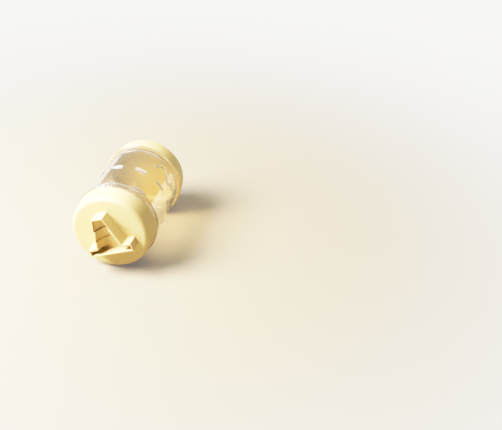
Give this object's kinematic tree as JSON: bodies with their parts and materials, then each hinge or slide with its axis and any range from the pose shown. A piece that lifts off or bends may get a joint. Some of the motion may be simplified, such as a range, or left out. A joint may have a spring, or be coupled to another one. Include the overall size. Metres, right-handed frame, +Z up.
{
  "type": "toy road roller",
  "caption": "Clear drum with a raised road pattern, closed by push-on end caps that carry a traffic-cone mould and a sign mould for play sand.",
  "frame": {"origin": "centre of the roller, on the drum's axis halfway between the two ends", "axes": "+Y along the drum's axis from the cone mould's end to the sign mould's end, +Z up with the roller lying on its flanges, +X to the right seen from the cone mould's end"},
  "size_m": [0.0718, 0.128, 0.0718],
  "materials": {
    "clear_plastic": "clear, faintly grey, glossy moulded plastic",
    "cap_plastic": "opaque cream moulded plastic with a soft satin gloss"
  },
  "bodies": {
    "drum": {"drum": "clear_plastic"},
    "front_cap": {"front_cap": "cap_plastic", "cone_mould": "cap_plastic"},
    "rear_cap": {"rear_cap": "cap_plastic", "sign_mould": "cap_plastic"}
  },
  "joints": [
    {"name": "front_cap_pull", "type": "slide", "parent": "drum", "child": "front_cap", "axis": [0, -1, 0], "range_m": [0, 0.014]},
    {"name": "rear_cap_pull", "type": "slide", "parent": "drum", "child": "rear_cap", "axis": [0, 1, 0], "range_m": [0, 0.014]}
  ]
}
